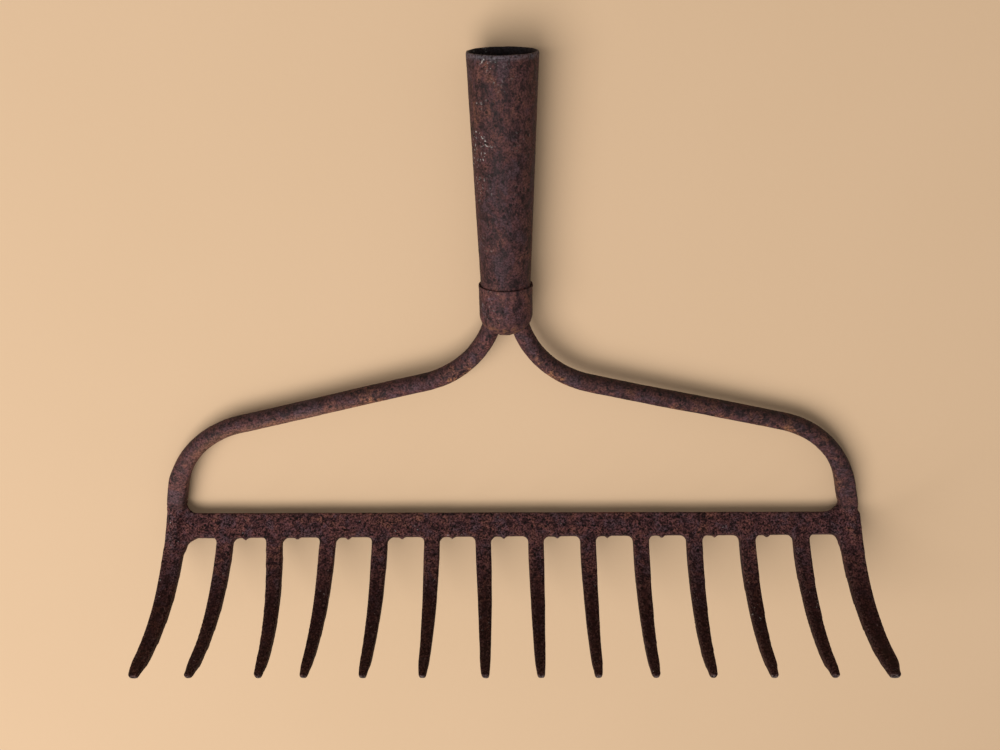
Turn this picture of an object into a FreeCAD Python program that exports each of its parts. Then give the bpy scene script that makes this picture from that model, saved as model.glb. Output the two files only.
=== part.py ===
import FreeCAD, Part
import math
import os
import Sketcher

# Steel bow rake head, lying on its back with its tines up.
#
# Frame, in millimetres: the origin is the centre of the handle socket's mouth, +Y runs out of
# the mouth along the socket's axis, +X runs along the tine bar and +Z is up, the way the tines
# point.  The socket's lip and the two bow arms touch the ground plane.
#
# The head (bar, tines and two end horns) is one forging.  Two round rods make the bow: each is
# butt welded to a horn, and both run up together through a cup into the socket tube.

V = FreeCAD.Vector
TINES = 14
LEFT, RIGHT = -1, 1
START, END = 1, 2
ORIGIN = (-1, 1)        # a sketch's own origin, as the sketcher numbers it
VERTICAL_AXIS = -2
HORIZONTAL_AXIS = -1
NEAR = 0.01             # how close two places must be to count as the same, in mm

DIMENSIONS = [
    # handle socket
    ("mouth_radius", 15.4),
    ("socket_end_radius", 11.0),
    ("socket_length", 113.0),
    ("bore_radius", 14.1),
    ("bore_length", 12.0),
    ("bore_end_radius", 9.9),
    # cup that joins the socket to the bow
    ("cup_start", 101.6),
    ("cup_radius", 12.3),
    ("cup_wall", 0.8),
    ("cup_length", 23.6),
    ("cup_bottom_round", 9.0),
    ("cup_lip_chamfer", 0.4),
    # bow arms
    ("rod_radius", 4.4),
    ("bow_slope", 4.6),
    ("tang_offset", 4.5),
    ("tang_height", 25.0),
    ("left_neck_corner", 43.2),
    ("right_neck_corner", 44.2),
    ("neck_bend", 45.5),
    ("shoulder_bend", 49.5),
    ("left_shoulder_across", 161.9),
    ("left_shoulder_down", 80.8),
    ("left_leg_across", 170.5),
    ("left_leg_down", 118.8),
    ("right_shoulder_across", 163.2),
    ("right_shoulder_down", 82.8),
    ("right_leg_across", 174.6),
    ("right_leg_down", 124.4),
    # welds
    ("weld_thickness", 2.4),
    ("weld_bulge", 0.3),
    ("neck_weld_across", 6.0),
    ("neck_weld_along", 1.3),
    ("neck_weld_up", 5.0),
    ("neck_weld_drop", 1.6),
    ("neck_weld_proud", 0.6),
    # head: where it sits, its bar and its horns
    ("head_across", 2.3),
    ("head_down", 230.4),
    ("head_drop", 10.0),
    ("head_skew", 0.73),
    ("head_tilt", 40.0),
    ("bar_length", 357.9),
    ("bar_depth", 11.5),
    ("bar_extra_depth", 1.05),
    ("bar_thickness", 5.5),
    ("bar_edge_round", 1.0),
    ("horn_bend", 10.0),
    ("horn_taper_length", 20.0),
    ("horn_end_radius", 2.6),
    # tines
    ("front_reach", 79.9),
    ("back_reach", 81.9),
    ("front_curve", 79.8),
    ("back_curve", 82.3),
    ("blank_half_height", 60.0),
    ("blank_margin", 1.0),
    ("gap_end", 84.0),
    ("tine_pitch", 27.05),
    ("pattern_shift", -1.6),
    ("root_width", 8.1),
    ("tip_width", 3.9),
    ("end_root_width", 9.75),
    ("end_tip_width", 6.2),
    ("gap_corner_round", 2.7),
    ("side_bow", 0.5),
    ("left_web_width", 6.0),
    ("right_web_width", 2.0),
    ("left_web_depth", 8.4),
    ("right_web_depth", 8.0),
]

# How far each tine's tip and root stand along the bar from an even pitch, from the left end to
# the right.  The two end tines' outer sides keep to the ends of the bar.
TIP_LEANS = [-0.7, -0.1, 5.3, -1.4, -1.1, -0.7, 1.4, 0.0, -0.5, -1.2, -2.0, -0.8, 0.1, -0.6]
ROOT_SHIFTS = [-0.4, 2.2, 0.2, 0.9, 0.6, 0.3, -0.5, -0.4, -0.7, -0.5, -0.1, 0.1, 0.7, -0.9]


def fill_sheet(doc):
    """Write every driving dimension into the sheet, with its name beside it."""
    sheet = doc.addObject("Spreadsheet::Sheet", "Sizes")
    offsets = []
    for end, values in (("tip", TIP_LEANS), ("root", ROOT_SHIFTS)):
        offsets += [("tine_%d_%s_offset" % (number + 1, end), value)
                    for number, value in enumerate(values)]
    for row, (name, value) in enumerate(DIMENSIONS + offsets, start=1):
        sheet.set("A%d" % row, name)
        sheet.set("B%d" % row, str(value))
        sheet.setAlias("B%d" % row, name)
    doc.recompute()
    return sheet


def new_body(doc, name):
    body = doc.addObject("PartDesign::Body", name)
    body.Label = name
    return body


def new_sketch(body, name, role):
    sketch = body.newObject("Sketcher::SketchObject", name)
    plane = next(plane for plane in body.Origin.OriginFeatures if plane.Role == role)
    sketch.AttachmentSupport = (plane, [""])
    sketch.MapMode = "FlatFace"
    return sketch


def bind(sketch, constraint, expression):
    """Add a dimension to the sketch and drive it from the sheet."""
    index = sketch.addConstraint(constraint)
    sketch.setExpression("Constraints[%d]" % index, expression)


def locate(sketch, geometry, point, across=None, up=None):
    """Dimension a point from the sketch's origin, with an expression for each distance."""
    place = sketch.getPoint(geometry, point)
    for kind, value, expression in (("DistanceX", place.x, across), ("DistanceY", place.y, up)):
        if expression is not None:
            ends = ORIGIN + (geometry, point)
            bind(sketch, Sketcher.Constraint(kind, *ends, value), expression)


def join(sketch, first, first_end, second, second_end, kind="Coincident"):
    sketch.addConstraint(Sketcher.Constraint(kind, first, first_end, second, second_end))


def draw_loop(sketch, points):
    """Draw a closed loop of straight lines; the loop's corners are the lines' starts."""
    following = points[1:] + points[:1]
    lines = [sketch.addGeometry(Part.LineSegment(a, b)) for a, b in zip(points, following)]
    for line, after in zip(lines, lines[1:] + lines[:1]):
        join(sketch, line, END, after, START)
    return lines


def revolve(body, sketch):
    """Turn a half profile in the body's XY plane about the body's Y axis."""
    turned = body.newObject("PartDesign::Revolution", "Turned")
    turned.Profile = sketch
    turned.ReferenceAxis = (sketch, ["V_Axis"])
    turned.Angle = 360
    return turned


def make_socket_tube(doc, sizes):
    """A cone of sheet steel, with a short parallel bore at its mouth and a tapered bore below."""
    body = new_body(doc, "socket_tube")
    sketch = new_sketch(body, "TubeProfile", "XY_Plane")
    points = [
        V(sizes.bore_radius, 0, 0),
        V(sizes.mouth_radius, 0, 0),
        V(sizes.socket_end_radius, -sizes.socket_length, 0),
        V(sizes.bore_end_radius, -sizes.socket_length, 0),
        V(sizes.bore_radius, -sizes.bore_length, 0),
    ]
    lines = draw_loop(sketch, points)
    for line in lines[:2]:
        sketch.addConstraint(Sketcher.Constraint("PointOnObject", line, START, HORIZONTAL_AXIS))
    locate(sketch, lines[0], START, "Sizes.bore_radius")
    locate(sketch, lines[1], START, "Sizes.mouth_radius")
    locate(sketch, lines[2], START, "Sizes.socket_end_radius", "-Sizes.socket_length")
    locate(sketch, lines[3], START, "Sizes.bore_end_radius", "-Sizes.socket_length")
    locate(sketch, lines[4], START, "Sizes.bore_radius", "-Sizes.bore_length")
    revolve(body, sketch)
    return body


def straight_edges(shape, direction, wanted):
    """The names of the shape's edges that run this way and whose ends both pass the test."""
    names = []
    for number, edge in enumerate(shape.Edges, start=1):
        ends = [vertex.Point for vertex in edge.Vertexes]
        if len(ends) == 2 and all(wanted(end) for end in ends):
            if (ends[1] - ends[0]).cross(direction).Length < NEAR:
                names.append("Edge%d" % number)
    return names


def ring_at(shape, height):
    """The name of the widest circular edge at this distance along Y."""
    rings = []
    for number, edge in enumerate(shape.Edges, start=1):
        level = abs(edge.BoundBox.YMin - height) < NEAR and edge.BoundBox.YLength < NEAR
        if level:
            rings.append((edge.BoundBox.XLength, "Edge%d" % number))
    return max(rings)[1]


def face_at(shape, height):
    """The name of the flat face at this distance along Y."""
    for number, face in enumerate(shape.Faces, start=1):
        if abs(face.BoundBox.YMin - height) < NEAR and face.BoundBox.YLength < NEAR:
            return "Face%d" % number
    raise ValueError("no face at %g" % height)


def make_cup(doc, sizes):
    """A thin cup with a round bottom, its mouth facing the socket."""
    body = new_body(doc, "cup_blank")
    body.setExpression("Placement", "placement(vector(0; -Sizes.cup_start; 0); rotation(0; 0; 0))")
    sketch = new_sketch(body, "CupCircle", "XZ_Plane")
    circle = sketch.addGeometry(Part.Circle(V(0, 0, 0), V(0, 0, 1), sizes.cup_radius))
    sketch.addConstraint(Sketcher.Constraint("Coincident", circle, 3, *ORIGIN))
    bind(sketch, Sketcher.Constraint("Radius", circle, sizes.cup_radius), "Sizes.cup_radius")
    slug = body.newObject("PartDesign::Pad", "CupSlug")
    slug.Profile = sketch
    slug.setExpression("Length", "Sizes.cup_length")
    doc.recompute()
    bottom = body.newObject("PartDesign::Fillet", "CupBottom")
    bottom.Base = (slug, [ring_at(slug.Shape, -sizes.cup_length)])
    bottom.setExpression("Radius", "Sizes.cup_bottom_round")
    doc.recompute()
    hollow = body.newObject("PartDesign::Thickness", "CupHollow")
    hollow.Base = (bottom, [face_at(bottom.Shape, 0)])
    hollow.setExpression("Value", "Sizes.cup_wall")
    hollow.Reversed = True
    doc.recompute()
    lip_edges = []
    inner_radius = sizes.cup_radius - sizes.cup_wall
    for number, edge in enumerate(hollow.Shape.Edges, start=1):
        box = edge.BoundBox
        if abs(box.YMax) < NEAR and box.YLength < NEAR and abs(box.XMax - inner_radius) < NEAR:
            lip_edges.append("Edge%d" % number)
    lip = body.newObject("PartDesign::Chamfer", "CupLip")
    lip.Base = (hollow, lip_edges)
    lip.setExpression("Size", "Sizes.cup_lip_chamfer")
    doc.recompute()
    return body


def fillet_points(before, corner, after, radius):
    """Where an arc of this radius touches the two lines that meet at a corner, and its centre."""
    towards_before = (before - corner).normalize()
    towards_after = (after - corner).normalize()
    half = towards_before.getAngle(towards_after) / 2
    reach = radius / math.tan(half)
    middle = (towards_before + towards_after).normalize()
    centre = corner + middle * (radius / math.sin(half))
    return corner + towards_before * reach, corner + towards_after * reach, centre


def add_bend(sketch, first, second, centre):
    """Draw the arc between two points, and say which end of it each point is."""
    radius = (first - centre).Length
    start = math.atan2(first.y - centre.y, first.x - centre.x)
    finish = math.atan2(second.y - centre.y, second.x - centre.x)
    anticlockwise = (finish - start) % (2 * math.pi) < math.pi
    angles = (start, finish) if anticlockwise else (finish, start)
    arc = sketch.addGeometry(Part.ArcOfCircle(Part.Circle(centre, V(0, 0, 1), radius), *angles))
    return (arc, START, END) if anticlockwise else (arc, END, START)


def make_bow_arm(doc, sizes, name, side):
    """A round rod: a straight tang, a bend at the neck, a long limb, a shoulder and a leg."""
    word = "left" if side == LEFT else "right"
    body = new_body(doc, name)
    body.setExpression(
        "Placement",
        "placement(vector(0; -Sizes.cup_start; 0); rotation(0; 0; Sizes.bow_slope))",
    )
    sign = "-" if side == LEFT else ""
    tang_across = sign + "Sizes.tang_offset"
    shoulder_across = sign + "Sizes.%s_shoulder_across" % word
    shoulder_down = "-Sizes.%s_shoulder_down" % word
    leg_across = sign + "Sizes.%s_leg_across" % word
    leg_down = "-Sizes.%s_leg_down" % word

    top = V(side * sizes.tang_offset, sizes.tang_height, 0)
    neck = V(side * sizes.tang_offset, -getattr(sizes, word + "_neck_corner"), 0)
    shoulder = V(side * getattr(sizes, word + "_shoulder_across"),
                 -getattr(sizes, word + "_shoulder_down"), 0)
    foot = V(side * getattr(sizes, word + "_leg_across"), -getattr(sizes, word + "_leg_down"), 0)
    neck_in, neck_out, neck_centre = fillet_points(top, neck, shoulder, sizes.neck_bend)
    turn_in, turn_out, turn_centre = fillet_points(neck, shoulder, foot, sizes.shoulder_bend)

    path = new_sketch(body, word.capitalize() + "Path", "XY_Plane")
    tang = path.addGeometry(Part.LineSegment(top, neck_in))
    neck_arc, neck_first, neck_last = add_bend(path, neck_in, neck_out, neck_centre)
    limb = path.addGeometry(Part.LineSegment(neck_out, turn_in))
    turn_arc, turn_first, turn_last = add_bend(path, turn_in, turn_out, turn_centre)
    leg = path.addGeometry(Part.LineSegment(turn_out, foot))
    join(path, tang, END, neck_arc, neck_first, "Tangent")
    join(path, neck_arc, neck_last, limb, START, "Tangent")
    join(path, limb, END, turn_arc, turn_first, "Tangent")
    join(path, turn_arc, turn_last, leg, START, "Tangent")

    # the sharp corners that the two bends round off
    neck_point = path.addGeometry(Part.Point(neck), True)
    shoulder_point = path.addGeometry(Part.Point(shoulder), True)
    for point, lines in ((neck_point, (tang, limb)), (shoulder_point, (limb, leg))):
        for line in lines:
            path.addConstraint(Sketcher.Constraint("PointOnObject", point, START, line))
    path.addConstraint(Sketcher.Constraint("Vertical", tang))
    locate(path, tang, START, tang_across, "Sizes.tang_height")
    locate(path, neck_point, START, None, "-Sizes.%s_neck_corner" % word)
    locate(path, shoulder_point, START, shoulder_across, shoulder_down)
    locate(path, leg, END, leg_across, leg_down)
    bind(path, Sketcher.Constraint("Radius", neck_arc, sizes.neck_bend), "Sizes.neck_bend")
    bind(path, Sketcher.Constraint("Radius", turn_arc, sizes.shoulder_bend), "Sizes.shoulder_bend")

    section = new_sketch(body, word.capitalize() + "Section", "XZ_Plane")
    section.setExpression(
        "AttachmentOffset",
        "placement(vector(%s; 0; -Sizes.tang_height); rotation(0; 0; 0))" % tang_across,
    )
    circle = section.addGeometry(Part.Circle(V(0, 0, 0), V(0, 0, 1), sizes.rod_radius))
    section.addConstraint(Sketcher.Constraint("Coincident", circle, 3, *ORIGIN))
    bind(section, Sketcher.Constraint("Radius", circle, sizes.rod_radius), "Sizes.rod_radius")

    doc.recompute()
    rod = body.newObject("PartDesign::AdditivePipe", word.capitalize() + "Rod")
    rod.Profile = section
    rod.Spine = (path, [])
    return body


def leg_line(sizes, side):
    """Where a leg ends, and the direction in which it arrives there."""
    word = "left" if side == LEFT else "right"
    slope = math.radians(sizes.bow_slope)
    down = V(0, -math.cos(slope), -math.sin(slope))
    pivot = V(0, -sizes.cup_start, 0)

    def place(corner):
        across = side * getattr(sizes, "%s_%s_across" % (word, corner))
        return pivot + V(across, 0, 0) + down * getattr(sizes, "%s_%s_down" % (word, corner))

    foot = place("leg")
    return foot, (foot - place("shoulder")).normalize()


def make_bow_weld(doc, sizes, name, side):
    """The upset lump of a butt weld: a short barrel between the leg and the horn."""
    body = new_body(doc, name)
    foot, along = leg_line(sizes, side)
    body.Placement = FreeCAD.Placement(foot, FreeCAD.Rotation(V(0, 1, 0), along))
    thickness = sizes.weld_thickness
    half = thickness / 2
    bulge = sizes.weld_bulge
    curve = (half * half + bulge * bulge) / (2 * bulge)
    sketch = new_sketch(body, name + "_profile", "XY_Plane")
    inner_low, outer_low = V(0, 0, 0), V(sizes.rod_radius, 0, 0)
    inner_high, outer_high = V(0, thickness, 0), V(sizes.rod_radius, thickness, 0)
    centre = V(sizes.rod_radius + bulge - curve, half, 0)
    bottom = sketch.addGeometry(Part.LineSegment(inner_low, outer_low))
    barrel, first, last = add_bend(sketch, outer_low, outer_high, centre)
    top = sketch.addGeometry(Part.LineSegment(outer_high, inner_high))
    axis = sketch.addGeometry(Part.LineSegment(inner_high, inner_low))
    join(sketch, bottom, END, barrel, first)
    join(sketch, barrel, last, top, START)
    join(sketch, top, END, axis, START)
    join(sketch, axis, END, bottom, START)
    join(sketch, bottom, START, *ORIGIN)
    sketch.addConstraint(Sketcher.Constraint("PointOnObject", axis, START, VERTICAL_AXIS))
    sketch.addConstraint(Sketcher.Constraint("Horizontal", bottom))
    locate(sketch, bottom, END, "Sizes.rod_radius")
    locate(sketch, top, START, "Sizes.rod_radius", "Sizes.weld_thickness")
    sketch.addConstraint(Sketcher.Constraint("Horizontal", top))
    bind(
        sketch,
        Sketcher.Constraint("Radius", barrel, curve),
        "(Sizes.weld_thickness^2 / 4 + Sizes.weld_bulge^2) / (2 * Sizes.weld_bulge)",
    )
    revolve(body, sketch)
    return body


def make_curved_plate(doc, sizes):
    """The flat bar running into the tines' curve, as a plate as wide as the whole head."""
    body = new_body(doc, "curved_plate")
    half = sizes.bar_thickness / 2
    root = -sizes.bar_depth
    front_end = V(root, half, 0)
    back_end = V(root, -half, 0)
    front_centre = front_end + V(0, sizes.front_curve, 0)
    back_centre = back_end + V(0, sizes.back_curve, 0)

    def on_curve(centre, radius, reach):
        drop = math.sqrt(radius ** 2 - (reach - sizes.bar_depth) ** 2)
        return V(-reach, centre.y - drop, 0)

    front_tip = on_curve(front_centre, sizes.front_curve, sizes.front_reach)
    back_tip = on_curve(back_centre, sizes.back_curve, sizes.back_reach)
    sketch = new_sketch(body, "PlateProfile", "YZ_Plane")
    edge = sketch.addGeometry(Part.LineSegment(V(0, -half, 0), V(0, half, 0)))
    front = sketch.addGeometry(Part.LineSegment(V(0, half, 0), front_end))
    front_arc, front_first, front_last = add_bend(sketch, front_end, front_tip, front_centre)
    tip = sketch.addGeometry(Part.LineSegment(front_tip, back_tip))
    back_arc, back_first, back_last = add_bend(sketch, back_tip, back_end, back_centre)
    back = sketch.addGeometry(Part.LineSegment(back_end, V(0, -half, 0)))
    join(sketch, edge, END, front, START)
    join(sketch, front, END, front_arc, front_first, "Tangent")
    join(sketch, front_arc, front_last, tip, START)
    join(sketch, tip, END, back_arc, back_first)
    join(sketch, back_arc, back_last, back, START, "Tangent")
    join(sketch, back, END, edge, START)
    sketch.addConstraint(Sketcher.Constraint("PointOnObject", edge, START, VERTICAL_AXIS))
    sketch.addConstraint(Sketcher.Constraint("PointOnObject", edge, END, VERTICAL_AXIS))
    locate(sketch, edge, START, None, "-Sizes.bar_thickness / 2")
    locate(sketch, edge, END, None, "Sizes.bar_thickness / 2")
    sketch.addConstraint(Sketcher.Constraint("Horizontal", front))
    sketch.addConstraint(Sketcher.Constraint("Horizontal", back))
    locate(sketch, front, END, "-Sizes.bar_depth")
    locate(sketch, back, START, "-Sizes.bar_depth")
    bind(sketch, Sketcher.Constraint("Radius", front_arc, sizes.front_curve), "Sizes.front_curve")
    bind(sketch, Sketcher.Constraint("Radius", back_arc, sizes.back_curve), "Sizes.back_curve")
    locate(sketch, tip, START, "-Sizes.front_reach")
    locate(sketch, tip, END, "-Sizes.back_reach")
    plate = body.newObject("PartDesign::Pad", "Plate")
    plate.Profile = sketch
    plate.SideType = "Symmetric"
    plate.setExpression("Length", "Sizes.bar_length")
    doc.recompute()
    rounded = body.newObject("PartDesign::Fillet", "PlateEdge")
    rounded.Base = (plate, straight_edges(plate.Shape, V(1, 0, 0), lambda p: abs(p.y) < NEAR))
    rounded.setExpression("Radius", "Sizes.bar_edge_round")
    return body


def evaluate(sizes, expression):
    """The number that a dimension expression gives."""
    value = sizes.evalExpression(expression.replace("Sizes.", ""))
    return float(getattr(value, "Value", value))


def tine_side(number, side, end):
    """An expression for one side of one tine, at its root or at its tip, along the bar."""
    if number == 1:
        edge = "-Sizes.bar_length / 2 + Sizes.end_%s_width" % end
    elif number == TINES:
        edge = "Sizes.bar_length / 2 - Sizes.end_%s_width" % end
    else:
        step = number - (TINES + 1) / 2
        sign = "+" if side == RIGHT else "-"
        edge = "%g * Sizes.tine_pitch + Sizes.pattern_shift %s Sizes.%s_width / 2" % (step, sign, end)
    return edge + " + Sizes.tine_%d_%s_offset" % (number, end)


def gap_corners(number):
    """The corners of the gap to the right of a tine, as (across, up) expressions.

    The bar gets deeper towards its left end, and a tine's right side bows out a little.
    """
    root = "-Sizes.bar_depth - %g * Sizes.bar_extra_depth" % (1 - (number - 1) / (TINES - 2))
    mouth = "-Sizes.gap_end"
    left_tip = tine_side(number, RIGHT, "tip")
    left_root = tine_side(number, RIGHT, "root")
    right_root = tine_side(number + 1, LEFT, "root")
    halfway = "(%s + %s) / 2 + Sizes.side_bow" % (left_tip, left_root)
    corners = [(left_tip, mouth), (halfway, "-(Sizes.bar_depth + Sizes.gap_end) / 2")]
    if number == 1:
        corners.append((left_root, root + " - Sizes.left_web_depth"))
        corners.append((left_root + " + Sizes.left_web_width", root))
    else:
        corners.append((left_root, root))
    if number == TINES - 1:
        corners.append((right_root + " - Sizes.right_web_width", root))
        corners.append((right_root, root + " - Sizes.right_web_depth"))
    else:
        corners.append((right_root, root))
    corners.append((tine_side(number + 1, LEFT, "tip"), mouth))
    return corners


def draw_bound_loop(sketch, sizes, corners):
    """Draw a closed loop whose corners are (across, up) expressions, and bind them."""
    points = [V(evaluate(sizes, across), evaluate(sizes, up), 0) for across, up in corners]
    for line, (across, up) in zip(draw_loop(sketch, points), corners):
        locate(sketch, line, START, across, up)


def make_comb(doc, sizes):
    """The head's outline seen square to the bar: a blank with the tine gaps cut out of it."""
    body = new_body(doc, "comb")
    blank = new_sketch(body, "Blank", "XY_Plane")
    left, right = "-Sizes.bar_length / 2", "Sizes.bar_length / 2"
    low, high = "-Sizes.back_reach - Sizes.blank_margin", "Sizes.blank_margin"
    corners = [(left, low), (right, low), (right, high), (left, high)]
    draw_bound_loop(blank, sizes, corners)
    slab = body.newObject("PartDesign::Pad", "Slab")
    slab.Profile = blank
    slab.SideType = "Symmetric"
    slab.setExpression("Length", "2 * Sizes.blank_half_height")
    doc.recompute()

    gaps = new_sketch(body, "Gaps", "XY_Plane")
    for number in range(1, TINES):
        draw_bound_loop(gaps, sizes, gap_corners(number))
    cut = body.newObject("PartDesign::Pocket", "GapCut")
    cut.Profile = gaps
    cut.Type = "ThroughAll"
    cut.SideType = "Symmetric"
    doc.recompute()
    if cut.Shape.Volume > slab.Shape.Volume - 1:
        raise RuntimeError("the tine gaps cut nothing")
    rounded = body.newObject("PartDesign::Fillet", "GapCorners")
    lowest = -sizes.bar_depth - sizes.bar_extra_depth - NEAR
    rounded.Base = (
        cut, straight_edges(cut.Shape, V(0, 0, 1), lambda p: lowest < p.y < -NEAR))
    rounded.setExpression("Radius", "Sizes.gap_corner_round")
    return body


def make_horn(doc, sizes, name, side):
    """The rod-like end of the forging: a short bend, then a taper that dies into the end tine."""
    foot, along = leg_line(sizes, side)
    start = foot + along * sizes.weld_thickness
    skew = FreeCAD.Rotation(-sizes.head_skew, 0, -sizes.head_tilt)
    tineward = skew.multVec(V(0, -1, 0))
    inward = (tineward - along * along.dot(tineward)).normalize()
    centre = start + inward * sizes.horn_bend
    turn = along.getAngle(tineward)

    bend = doc.addObject("Part::Torus", name + "_bend")
    bend.setExpression("Radius1", "Sizes.horn_bend")
    bend.setExpression("Radius2", "Sizes.rod_radius")
    bend.Angle3 = math.degrees(turn)
    outward = inward * -1
    bend.Placement = FreeCAD.Placement(
        centre, FreeCAD.Rotation(outward, along, outward.cross(along), "XYZ"))

    bend_end = centre + outward * (sizes.horn_bend * math.cos(turn))
    bend_end = bend_end + along * (sizes.horn_bend * math.sin(turn))
    taper = doc.addObject("Part::Cone", name + "_taper")
    taper.setExpression("Radius1", "Sizes.rod_radius")
    taper.setExpression("Radius2", "Sizes.horn_end_radius")
    taper.setExpression("Height", "Sizes.horn_taper_length")
    taper.Placement = FreeCAD.Placement(bend_end, FreeCAD.Rotation(V(0, 0, 1), tineward))
    return [bend, taper]


def make_head(doc, sizes):
    """Bar and tines are what the curved plate and the comb outline share; the horns join them."""
    plate = make_curved_plate(doc, sizes)
    comb = make_comb(doc, sizes)
    toothed = doc.addObject("Part::Common", "toothed_bar")
    toothed.Base = comb
    toothed.Tool = plate
    toothed.Refine = True
    toothed.setExpression(
        "Placement",
        "placement(vector(Sizes.head_across; -Sizes.head_down; -Sizes.head_drop); "
        "rotation(-Sizes.head_skew; 0; -Sizes.head_tilt))",
    )
    horns = make_horn(doc, sizes, "left_horn", LEFT) + make_horn(doc, sizes, "right_horn", RIGHT)
    head = doc.addObject("Part::MultiFuse", "rake_head")
    head.Label = "rake_head"
    head.Shapes = [toothed] + horns
    head.Refine = True
    return head


def cut_away(doc, name, base, tool):
    """What is left of one piece where its neighbour passes through it."""
    cut = doc.addObject("Part::Cut", name)
    cut.Label = name
    cut.Base = base
    cut.Tool = tool
    return cut


def make_neck_weld(doc, cup, rods):
    """The lump of weld metal that closes the cup's bottom between the two rods."""
    lump = doc.addObject("Part::Ellipsoid", "neck_lump")
    lump.setExpression("Radius1", "Sizes.neck_weld_up")
    lump.setExpression("Radius2", "Sizes.neck_weld_across")
    lump.setExpression("Radius3", "Sizes.neck_weld_along")
    lump.Angle1 = -90
    lump.setExpression(
        "Placement",
        "placement(vector(0; -Sizes.cup_start - Sizes.cup_length - Sizes.neck_weld_proud; "
        "-Sizes.neck_weld_drop); rotation(0; 0; 0))",
    )
    outside_cup = cut_away(doc, "neck_lump_outside", lump, cup)
    return cut_away(doc, "neck_weld", outside_cup, rods)


def check_document(doc, parts):
    """Stop if any feature failed to build or any part is not one sound solid."""
    for item in doc.Objects:
        if "Invalid" in item.State or "Error" in item.State:
            raise RuntimeError("%s failed: %s" % (item.Name, item.State))
    for part in parts:
        if part.Shape.isNull() or not part.Shape.isValid() or len(part.Shape.Solids) != 1:
            raise RuntimeError("%s is not one sound solid" % part.Label)


def main():
    doc = FreeCAD.newDocument("BowRake")
    sizes = fill_sheet(doc)
    tube = make_socket_tube(doc, sizes)
    left_arm = make_bow_arm(doc, sizes, "left_bow_arm", LEFT)
    right_arm = make_bow_arm(doc, sizes, "right_bow_arm", RIGHT)
    rods = doc.addObject("Part::MultiFuse", "rods")
    rods.Shapes = [left_arm, right_arm]
    cup_blank = make_cup(doc, sizes)
    cup = cut_away(doc, "socket_cup", cup_blank, rods)
    neck_weld = make_neck_weld(doc, cup_blank, rods)
    left_weld = make_bow_weld(doc, sizes, "left_bow_weld", LEFT)
    right_weld = make_bow_weld(doc, sizes, "right_bow_weld", RIGHT)
    head = make_head(doc, sizes)
    doc.recompute()

    parts = [head, left_arm, right_arm, left_weld, right_weld, neck_weld, cup, tube]
    check_document(doc, parts)
    os.makedirs("parts", exist_ok=True)
    for part in parts:
        part.Shape.exportStep("parts/%s.step" % part.Label)


main()
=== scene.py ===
import math

import bmesh
import bpy
import numpy as np
from mathutils import Matrix, Vector, noise


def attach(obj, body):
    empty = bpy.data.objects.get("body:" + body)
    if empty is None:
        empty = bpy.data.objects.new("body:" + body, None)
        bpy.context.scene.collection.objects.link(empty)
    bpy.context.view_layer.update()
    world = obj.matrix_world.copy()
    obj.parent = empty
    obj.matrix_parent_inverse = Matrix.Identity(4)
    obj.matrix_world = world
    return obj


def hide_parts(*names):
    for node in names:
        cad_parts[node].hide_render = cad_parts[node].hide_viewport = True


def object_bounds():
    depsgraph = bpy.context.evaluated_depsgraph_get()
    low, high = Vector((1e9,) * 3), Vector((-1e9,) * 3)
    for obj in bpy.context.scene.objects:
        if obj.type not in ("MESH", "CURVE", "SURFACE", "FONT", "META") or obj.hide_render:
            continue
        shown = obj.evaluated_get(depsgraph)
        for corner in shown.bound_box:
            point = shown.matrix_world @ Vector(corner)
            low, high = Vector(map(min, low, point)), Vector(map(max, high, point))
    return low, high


# A rusted steel bow rake head, lying on its back.  Lengths are metres in the part's frame:
# +X runs along the tine bar, +Y out of the handle socket's mouth, +Z up, the way the tines point.
# Every piece starts as an even skin over its CAD node, which is then relaxed, worn and corroded.

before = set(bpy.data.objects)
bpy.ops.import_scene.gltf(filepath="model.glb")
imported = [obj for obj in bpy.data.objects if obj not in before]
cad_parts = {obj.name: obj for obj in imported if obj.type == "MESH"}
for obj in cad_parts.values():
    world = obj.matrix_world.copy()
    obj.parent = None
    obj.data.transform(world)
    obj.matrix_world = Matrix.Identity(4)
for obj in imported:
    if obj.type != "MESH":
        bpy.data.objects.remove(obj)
cad_low, cad_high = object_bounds()

MM = 0.001
BODY = "root"
X, Y, Z = range(3)                  # columns of a point in the part's frame
ALONG, DOWN, OUT = range(3)         # columns of a point in the bar's own frame


# ---------------------------------------------------------------- mesh tools

SAME_POINT = 0.002 * MM             # points of a CAD node this close together are one point
EDGE_ROUNDS = 10                    # rounds of smoothing that the edges are compared with
EDGE_HEIGHT = 0.35 * MM             # how far a point stands out to count as fully worn
SWELL_SIZE = 9 * MM
COARSE_GRAIN_SIZE = 2.2 * MM
FINE_GRAIN_SIZE = 0.9 * MM
PIT_SPACING = 4.2 * MM
PIT_RADIUS = 1.3 * MM               # of the largest pits


def read_points(mesh):
    """The mesh's points as an array, one row each."""
    points = np.empty(len(mesh.vertices) * 3)
    mesh.vertices.foreach_get("co", points)
    return points.reshape(-1, 3)


def write_points(mesh, points):
    """Put every point of the mesh in its new place."""
    mesh.vertices.foreach_set("co", np.asarray(points, np.float32).ravel())
    mesh.update()


def read_normals(mesh):
    """The surface's direction at each point."""
    normals = np.empty(len(mesh.vertices) * 3)
    mesh.vertex_normals.foreach_get("vector", normals)
    return normals.reshape(-1, 3)


def read_edges(mesh):
    """The two point numbers of each edge."""
    edges = np.empty(len(mesh.edges) * 2, np.int64)
    mesh.edges.foreach_get("vertices", edges)
    return edges.reshape(-1, 2)


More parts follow.
